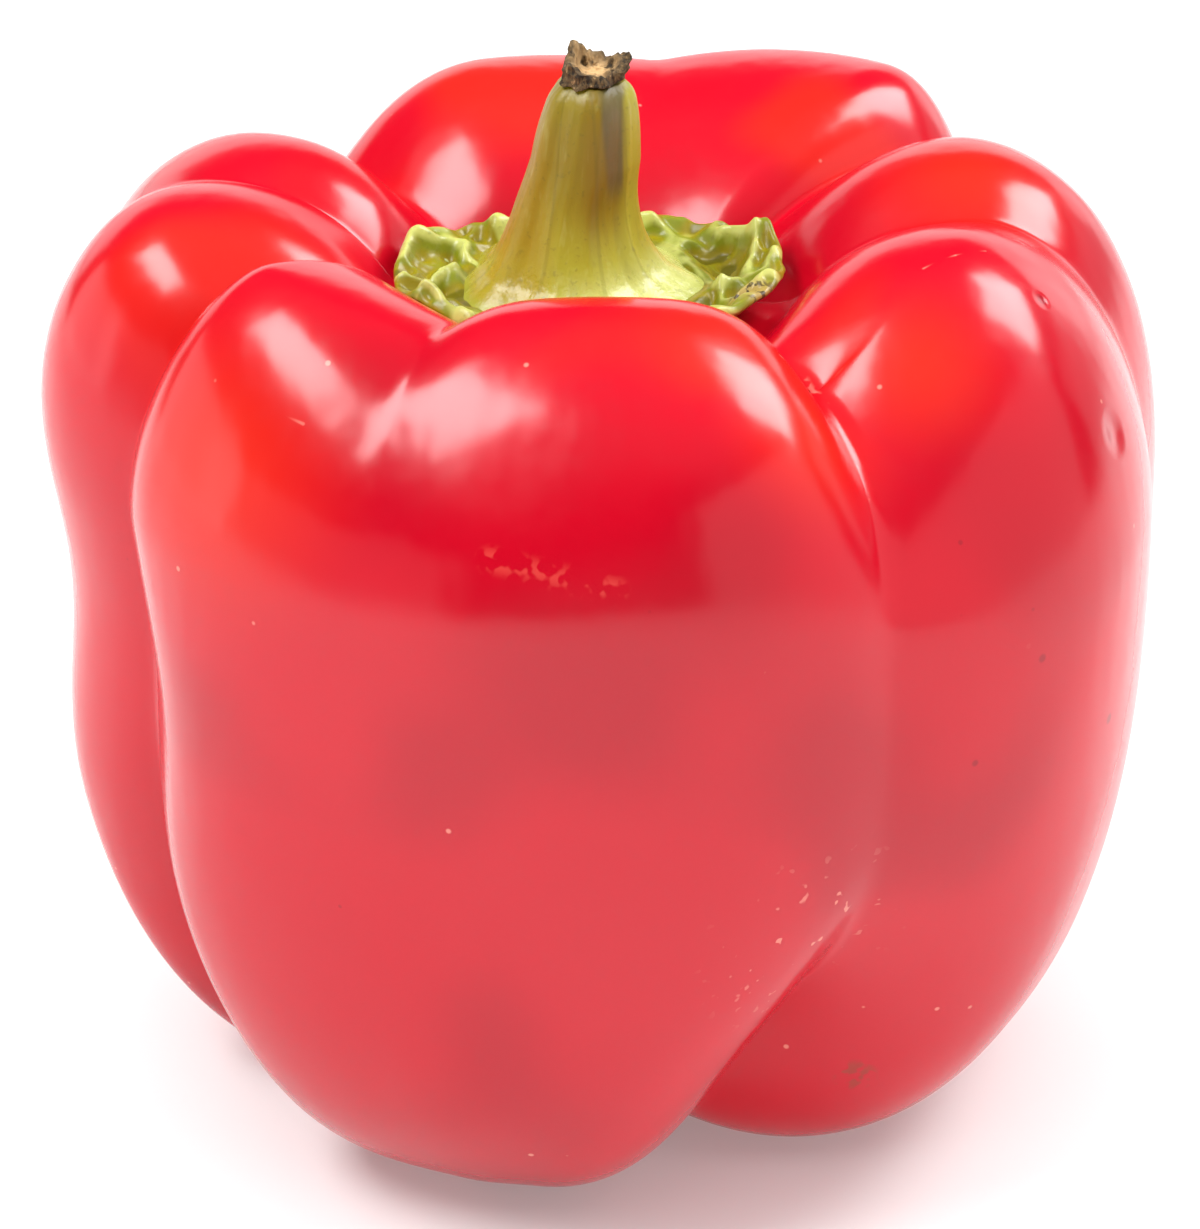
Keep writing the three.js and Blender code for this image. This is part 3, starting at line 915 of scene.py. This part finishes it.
    def skin_point(self, angle: float, r: float, z: float, share: float) -> Vector:
        """Return the place of a point, with the dents, the scar and the skin's unevenness.

        Args:
            angle: Angle round the axis, in degrees.
            r: Radius in millimetres.
            z: Height in millimetres.
            share: Share of the meridian.

        Returns:
            The place in metres.
        """
        on_side = ease((share - 0.28) / 0.1) * ease((0.85 - share) / 0.05)
        for dent in self.dents:
            near = bump(turn_between(dent.at, angle), dent.wide) * bump(z - dent.height, dent.tall)
            r -= dent.deep * near * on_side
        x = r * math.cos(math.radians(angle)) + self.seat_shift * (1 - ease(share / 0.25))
        y = r * math.sin(math.radians(angle))
        uneven = self.undulation(x, y, z) * ease((share - 0.12) / 0.1) * ease((0.78 - share) / 0.1)
        if r > 1.0:
            x += uneven * math.cos(math.radians(angle)) * ease((share - 0.25) / 0.12)
            y += uneven * math.sin(math.radians(angle)) * ease((share - 0.25) / 0.12)
            z += uneven * (1 - ease((share - 0.3) / 0.12))
        if share > 0.85:
            z -= self.scar_rise * bump(r, self.scar_radius)
        return placed(x, y, max(z, 0.0))

    @staticmethod
    def along(levels: Sequence[float], share: float) -> float:
        """Return a top, belly and foot value at a share of the meridian."""
        return eased_levels((0.2, 0.5, 0.85), levels, share)

    def build(self) -> bpy.types.Object:
        """Build and dress the fruit.

        Returns:
            The piece.
        """
        self.prepare()
        columns = 2 * self.flank_columns * len(self.ridges)
        piece = TurnedBody("pepper_fruit", len(self.shares), columns, self.place).build()
        piece.data.materials.append(SkinFinish().material())
        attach(piece, "root")
        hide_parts("fruit")
        return piece


# Calyx


@dataclass(frozen=True)
class Point:
    """A point of the calyx rim: angle, width in degrees, reach outwards and upwards."""

    at: float
    wide: float
    out: float
    up: float


@dataclass
class Calyx:
    """The quilted saucer round the stem, with a thin uneven rim and two curled knobs.

    The outline gives the rim's radius at given angles. Up to the flat radius the floor is level.
    """

    centre_x: float = -1.0
    outline: tuple[tuple[float, float], ...] = (
        (1, 15.7), (24, 16.4), (38, 15.5), (50, 13.9), (70, 12.6), (98, 12.0), (126, 12.3), (142, 14.2),
        (156, 15.8), (180, 16.2), (196, 15.8), (212, 14.7), (240, 14.4), (270, 14.2), (305, 14.6), (332, 15.4),
        (361, 15.7),
    )
    base: float = 72.3
    floor: float = 73.0
    flat: float = 10.2
    rim: float = 74.7
    thickness: float = 0.8
    cell: float = 4.6
    columns: int = 240
    top_rows: int = 48
    rim_rows: int = 4
    under_rows: int = 8
    inner_share: float = 0.5
    points: tuple[Point, ...] = (
        Point(22, 4.5, 0.0, 2.0),
        Point(12, 5, 0.3, 0.7),
        Point(-14, 9, 0.6, 1.0),
        Point(-30, 5, 0.3, 0.7),
        Point(-48, 8, 0.4, 0.7),
        Point(-100, 9, 0.6, 0.7),
        Point(158, 4.5, 0.3, 1.1),
        Point(205, 9, 0.5, 0.6),
        Point(92, 10, 0.2, 0.2),
    )
    veins: tuple[float, ...] = (-10.3, 61.7, 133.7, 205.7, 277.7)

    def radius_at(self, angle: float) -> float:
        """Return the rim's plain radius at an angle, in millimetres."""
        marks, levels = zip(*self.outline)
        return eased_levels(marks, levels, (angle - marks[0]) % 360.0 + marks[0])

    def point_at(self, angle: float) -> tuple[float, float]:
        """Return how far the points reach outwards and upwards at an angle."""
        near = [(p, bump(turn_between(p.at, angle), p.wide)) for p in self.points]
        return (sum(p.out * n for p, n in near), sum(p.up * n for p, n in near))

    def quilt(self, x: float, y: float) -> float:
        """Return the crumpling from 0 in a hollow to 1 on a fold."""
        warp = 1.3 * perlin(x, y, 5.0, 4.5)
        broad = 1.0 - min(abs(perlin(x + warp, y - warp, 1.5, self.cell)) * 2.6, 1.0)
        small = 1.0 - min(abs(perlin(x - warp, y + warp, 9.5, self.cell * 0.55)) * 2.6, 1.0)
        return min(ease(broad) * 0.75 + ease(small) * 0.35, 1.0)

    def vein(self, angle: float, r: float) -> float:
        """Return the height share of the veins that run out from the stem's angles."""
        apart = min(abs(turn_between(v, angle)) for v in self.veins)
        return bump(math.radians(apart) * r, 0.7)

    def collar(self, angle: float, r: float) -> float:
        """Return the rise that closes over the edge of the stem's foot."""
        return 0.85 * bump(r - Stem().foot_edge(angle, self.centre_x) - 0.2, 0.8)

    def top(self, angle: float, share: float, reach: float, x: float, y: float) -> float:
        """Return the height of the quilted top.

        Args:
            angle: Angle in degrees.
            share: Share of the radius.
            reach: Radius of the rim at that angle.
            x: Place along X in millimetres.
            y: Place along Y in millimetres.

        Returns:
            The height in millimetres.
        """
        r = reach * share
        beyond = r - self.flat
        uneven = 0.25 * perlin(x, y, 7.0, 2.6) + 0.12 * perlin(x, y, 3.0, 1.0)
        up = (self.point_at(angle)[1] + uneven) * ease((share - 0.8) / 0.2)
        rise = (self.rim - self.floor) * ease(beyond / (reach - self.flat))
        open_part = ease((beyond + 0.2) / 1.2) * ease((1.02 - share) / 0.1)
        relief = 1.8 * self.quilt(x, y) - 0.7 + 0.5 * self.vein(angle, r)
        return self.floor + rise + up + max(open_part * relief, -0.6) + self.collar(angle, r)

    def place(self, column: int, row: int) -> Vector:
        """Return a point: over the top from the axis, round the rim and back under."""
        angle = 360.0 * column / self.columns
        a = math.radians(angle)
        wave = 0.15 * math.cos(5 * a + 0.7) + 0.1 * math.cos(11 * a)
        ragged = 0.2 * perlin(math.cos(a) * 14, math.sin(a) * 14, 3.0, 2.0)
        reach = self.radius_at(angle) + wave + ragged + self.point_at(angle)[0]
        if row <= self.top_rows:
            share = 0.0 if row == 0 else self.inner_share + (0.98 - self.inner_share) * row / self.top_rows
        elif row <= self.top_rows + self.rim_rows:
            share = 0.98 + 0.02 * math.sin(math.pi * (row - self.top_rows) / self.rim_rows)
        else:
            left = self.top_rows + self.rim_rows + self.under_rows - row
            share = 0.97 * left / self.under_rows
        x, y = self.centre_x + reach * share * math.cos(a), reach * share * math.sin(a)
        height = self.top(angle, share, reach, x, y)
        if row > self.top_rows:
            below = min((row - self.top_rows) / self.rim_rows, 1.0) * self.thickness
            height = max(height - below, self.base) if share > 0.75 else self.base
        return placed(x, y, height)

    def build(self) -> bpy.types.Object:
        """Build and dress the calyx.

        Returns:
            The piece.
        """
        rows = self.top_rows + self.rim_rows + self.under_rows + 1
        piece = TurnedBody("pepper_calyx", rows, self.columns, self.place, 1).build()
        layer = piece.data.attributes.new("quilt", "FLOAT", "POINT")
        levels = [self.quilt(v.co.x / MM + MIDDLE_X, v.co.y / MM + MIDDLE_Y) for v in piece.data.vertices]
        layer.data.foreach_set("value", levels)
        piece.data.materials.append(CalyxFinish().material())
        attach(piece, "root")
        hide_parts("calyx")
        return piece


# Stem


@dataclass
class Stem:
    """The ribbed stalk that flares out over the calyx. The outline gives height and radius."""

    outline: tuple[tuple[float, float], ...] = (
        (73.3, 10.0), (73.7, 9.5), (74.4, 8.6), (75.4, 7.4), (77.2, 6.25), (79.2, 5.5), (81.6, 4.95),
        (84.2, 4.65), (86.8, 4.3), (88.5, 4.03), (89.8, 3.7), (90.6, 3.25), (91.2, 2.6),
    )
    columns: int = 160
    side_rows: int = 78
    cap_rows: int = 5
    angles: int = 5
    angular: float = 0.05
    foot_x: float = -1.6
    bend: float = -0.5
    tip_lean: float = 1.3
    slim_right: float = 0.45

    def radius_at(self, share: float) -> tuple[float, float]:
        """Return height and radius at a share of the outline, along a smooth curve."""
        spans = len(self.outline) - 1
        at = min(share, 1.0) * spans
        i = min(int(at), spans - 1)
        t = at - i
        knots = [self.outline[min(max(k, 0), spans)] for k in (i - 1, i, i + 1, i + 2)]
        result = []
        for axis in range(2):
            a, b, c, d = (knot[axis] for knot in knots)
            curve = 2 * b + (c - a) * t + (2 * a - 5 * b + 4 * c - d) * t * t
            result.append(0.5 * (curve + (3 * b - a - 3 * c + d) * t ** 3))
        return (result[0], result[1])

    def middle(self, share: float) -> float:
        """Return the sideways place of the stem's middle line at a share of its height."""
        return self.foot_x + self.bend * math.sin(math.pi * min(share * 1.6, 1.0)) + self.tip_lean * share ** 2

    def ribs(self, a: float) -> float:
        """Return how far the stem's angles stand out, for an angle in radians."""
        return math.cos(self.angles * a + 0.9) + 0.4 * math.cos(2 * self.angles * a + 0.4)

    def foot_edge(self, angle: float, centre_x: float) -> float:
        """Return the distance of the foot's edge from a centre on the X axis."""
        a = math.radians(angle)
        return self.outline[0][1] * (1 + self.angular * self.ribs(a)) + (self.foot_x - centre_x) * math.cos(a)

    def place(self, column: int, row: int) -> Vector:
        """Return a point, from the middle of the tip down the side and in under the foot."""
        a = math.tau * column / self.columns
        foot, tip = self.outline[0][0], self.outline[-1][0]
        cap = self.cap_rows
        if row < cap:
            z, r = tip, self.outline[-1][1] * row / cap
        elif row <= cap + self.side_rows:
            z, r = self.radius_at(1.0 - (row - cap) / self.side_rows)
        else:
            z, r = foot, self.outline[0][1] * (2 * cap + self.side_rows - row) / cap
        share = (z - foot) / (tip - foot)
        lines = 0.005 * math.sin(17 * a + 2.5 * perlin(0, 0, z, 9.0)) + 0.003 * math.sin(31 * a + 1.0)
        wear = 0.02 * perlin(math.cos(a) * 3, math.sin(a) * 3, z, 3.4)
        round_r = r * (1 + self.angular * self.ribs(a) + (lines + wear) * ease(share * 8))
        round_r -= self.slim_right * max(math.cos(a), 0.0) * ease(r / 2.0) * ease(share * 8)
        return placed(self.middle(share) + round_r * math.cos(a), round_r * math.sin(a), z)

    def build(self) -> bpy.types.Object:
        """Build and dress the stem.

        Returns:
            The piece.
        """
        rows = 2 * self.cap_rows + self.side_rows + 1
        piece = TurnedBody("pepper_stem", rows, self.columns, self.place, 1).build()
        piece.data.materials.append(StemFinish().material())
        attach(piece, "root")
        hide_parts("stem")
        return piece


# Torn end


@dataclass(frozen=True)
class Shred:
    """A shred of the torn collar: angle, width, extra height, lean outwards and droop."""

    at: float
    wide: float
    up: float
    lean: float
    droop: float


@dataclass
class TornEnd:
    """The dry collar where the stalk was broken off: uneven shreds round a shallow dish."""

    centre_x: float = -0.5
    base: float = 91.5
    radius: float = 2.55
    height: float = 1.2
    dish: float = 0.5
    columns: int = 144
    steps: tuple[int, ...] = (14, 8, 10, 12, 8, 6, 6)
    shreds: tuple[Shred, ...] = (
        Shred(152, 20, 1.25, -0.05, 0.2),
        Shred(120, 12, 0.5, 0.0, 0.0),
        Shred(60, 18, -0.3, 0.1, 0.0),
        Shred(12, 24, 0.3, 0.25, 0.0),
        Shred(-25, 12, -0.2, 0.2, 0.2),
        Shred(-72, 22, -0.7, 0.1, 0.4),
        Shred(-118, 14, -0.3, 0.15, 0.7),
        Shred(-150, 12, 0.3, 0.1, 0.5),
    )

    def total(self, angle: float) -> tuple[float, float, float]:
        """Return the shreds' height, lean and droop at an angle."""
        near = [(s, bump(turn_between(s.at, angle), s.wide)) for s in self.shreds]
        return (
            sum(s.up * n for s, n in near),
            sum(s.lean * n for s, n in near),
            min(sum(s.droop * n for s, n in near), 1.0),
        )

    def outline(self, angle: float) -> list[tuple[float, float]]:
        """Return the corners of the section at an angle, from the dish out and down to the base."""
        a = math.radians(angle)
        up, lean, droop = self.total(angle)
        x, y = 2.5 * math.cos(a), 2.5 * math.sin(a)
        ragged = 0.4 * perlin(x, y, 4.0, 1.3) + 0.3 * perlin(x, y, 1.0, 0.5)
        low = self.base
        edge = max(low + self.height + up + ragged, low + 0.35)
        return [
            (0.0, low + self.dish - 0.25),
            (0.5, low + self.dish - 0.1),
            (0.68 + lean * 0.6, max(edge - 0.12, low + self.dish - 0.1)),
            (0.86 + lean, edge),
            (1.0 + 0.2 * lean, low + 0.45),
            (0.98 + 0.3 * droop, low + 0.2 - 0.85 * droop),
            (0.9, low),
            (0.0, low),
        ]

    def place(self, column: int, row: int) -> Vector:
        """Return a point, from the dish over the collar and in underneath."""
        angle = 360.0 * column / self.columns
        a = math.radians(angle)
        corners = self.outline(angle)
        step = row
        for index, count in enumerate(self.steps):
            if step <= count:
                break
            step -= count
        share = step / count
        (r0, z0), (r1, z1) = corners[index], corners[index + 1]
        reach = self.radius * (1 + 0.05 * math.cos(5 * a) + 0.04 * math.sin(9 * a))
        r = reach * (r0 + (r1 - r0) * share)
        z = z0 + (z1 - z0) * share
        rough = ease(r / 0.6) * (1.0 if index < 5 else 0.0)
        x, y = r * math.cos(a), r * math.sin(a)
        r += rough * (0.22 * perlin(x, y, z, 0.8) + 0.13 * perlin(x, y, z + 5, 0.35))
        z += rough * (0.25 * perlin(x + 7, y, z, 0.6) + 0.12 * perlin(x, y + 7, z, 0.3))
        lowest = self.base - 0.85 if index < 6 else self.base
        return placed(self.centre_x + r * math.cos(a), r * math.sin(a), max(z, lowest))

    def build(self) -> bpy.types.Object:
        """Build and dress the torn end.

        Returns:
            The piece.
        """
        piece = TurnedBody("pepper_stem_end", sum(self.steps) + 1, self.columns, self.place, 1).build()
        layer = piece.data.attributes.new("inner", "FLOAT", "POINT")
        middle = placed(self.centre_x, 0, 0)
        spread = self.radius * MM * 0.8
        layer.data.foreach_set("value", [
            1.0 - ease(math.hypot(v.co.x - middle.x, v.co.y - middle.y) / spread - 0.3)
            for v in piece.data.vertices
        ])
        piece.data.materials.append(TornFinish().material())
        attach(piece, "root")
        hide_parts("stem_end")
        return piece


# Studio


@dataclass(frozen=True)
class SoftBox:
    """A soft light: direction in degrees, distance, size, brightness, and what it acts on.

    Attributes:
        name: Name of the light.
        azimuth: Direction round the pepper, 0 towards the camera.
        height: Direction above the floor.
        distance: Distance from the pepper in metres.
        size: Width and height in metres.
        radiance: Brightness of its face.
        mirrored: Whether gloss shows it.
        lighting: Whether it lights matt surfaces.
    """

    name: str
    azimuth: float
    height: float
    distance: float
    size: tuple[float, float]
    radiance: float
    mirrored: bool = True
    lighting: bool = True


@dataclass
class Studio:
    """A pale floor, soft lights and a camera in front, looking down on the pepper."""

    target: tuple[float, float, float] = (-0.505, -1.493, 42.8)
    distance: float = 400.0
    elevation: float = 27.0
    focal_pixels: float = 4700.0
    long_side: float = 1229.0
    sky: float = 0.04
    boxes: tuple[SoftBox, ...] = (
        SoftBox("key_left", -76.0, 55.0, 1.0, (0.64, 0.335), 11.0),
        SoftBox("key_sheen", -76.0, 55.0, 1.0, (0.64, 0.335), 5.5, True, False),
        SoftBox("back_right", 117.0, 43.0, 1.0, (0.44, 0.46), 11.0),
        SoftBox("back_sheen", 117.0, 43.0, 1.0, (0.44, 0.46), 4.0, True, False),
        SoftBox("backdrop", 180.0, 12.0, 1.3, (2.6, 0.55), 1.2),
        SoftBox("card_left", -96.0, 8.0, 1.0, (0.9, 0.5), 1.4),
        SoftBox("card_front_left", -60.0, 8.0, 1.0, (0.8, 0.4), 0.6, True, False),
        SoftBox("card_front_right", 62.0, 19.0, 1.0, (1.45, 0.75), 0.9),
        SoftBox("card_right", 128.0, 8.0, 1.0, (0.7, 0.4), 0.6),
        SoftBox("front_fill", 0.0, 4.0, 1.0, (1.0, 0.5), 1.6, False),
        SoftBox("ceiling", 0.0, 90.0, 1.15, (2.0, 2.0), 1.8, False),
    )

    def floor(self) -> bpy.types.Object:
        """Build the pale floor."""
        bm = bmesh.new()
        bmesh.ops.create_grid(bm, x_segments=2, y_segments=2, size=3.0)
        piece = finished_object("studio_floor", bm, 0)
        bench = Bench("floor_white")
        piece.data.materials.append(bench.finish({
            "Base Color": tint(219, 219, 219),
            "Roughness": 0.9,
            "IOR": 1.3,
            "Emission Color": (1.0, 1.0, 1.0, 1.0),
            "Emission Strength": 0.2,
        }))
        return piece

    def soft_box(self, box: SoftBox) -> bpy.types.Object:
        """Hang a soft light that looks at the pepper."""
        light = bpy.data.lights.new(box.name, "AREA")
        light.shape = "RECTANGLE"
        light.size, light.size_y = box.size
        light.energy = box.radiance * math.pi * box.size[0] * box.size[1]
        lamp = bpy.data.objects.new(box.name, light)
        bpy.context.scene.collection.objects.link(lamp)
        centre = Vector(self.target) * MM
        a, e = math.radians(box.azimuth), math.radians(box.height)
        away = Vector((math.sin(a) * math.cos(e), -math.cos(a) * math.cos(e), math.sin(e)))
        lamp.location = centre + away * box.distance
        lamp.visible_glossy = box.mirrored
        lamp.visible_diffuse = box.lighting
        lamp.rotation_euler = (-away).to_track_quat("-Z", "Y").to_euler()
        return lamp

    def surroundings(self) -> None:
        """Give the room its dim, even light."""
        world = bpy.data.worlds.new("studio_room")
        world.use_nodes = True
        world.node_tree.nodes["Background"].inputs[0].default_value = (1.0, 1.0, 1.0, 1.0)
        world.node_tree.nodes["Background"].inputs[1].default_value = self.sky
        bpy.context.scene.world = world
        bpy.context.scene.view_settings.view_transform = "Standard"

    def camera(self) -> bpy.types.Object:
        """Set up the camera at the photograph's angle."""
        lens = bpy.data.cameras.new("studio_camera")
        lens.sensor_width = 36.0
        lens.lens = self.focal_pixels * 36.0 / self.long_side
        lens.clip_start = 0.01
        lens.clip_end = 20.0
        eye = bpy.data.objects.new("studio_camera", lens)
        bpy.context.scene.collection.objects.link(eye)
        e = math.radians(self.elevation)
        away = Vector((0.0, -math.cos(e), math.sin(e)))
        eye.location = Vector(self.target) * MM + away * self.distance * MM
        eye.rotation_euler = (-away).to_track_quat("-Z", "Y").to_euler()
        bpy.context.scene.camera = eye
        return eye

    def build(self) -> None:
        """Set up the whole studio."""
        self.floor()
        for box in self.boxes:
            self.soft_box(box)
        self.surroundings()
        self.camera()


def main() -> None:
    """Build the pepper piece by piece, then the studio round it."""
    logging.basicConfig(level=logging.INFO, format="%(name)s: %(message)s")
    for part in (Fruit(), Calyx(), Stem(), TornEnd()):
        piece = part.build()
        LOG.info("%s: %d points", piece.name, len(piece.data.vertices))
    Studio().build()
    LOG.info("studio: floor, lights and camera")


if __name__ == "__main__":
    main()
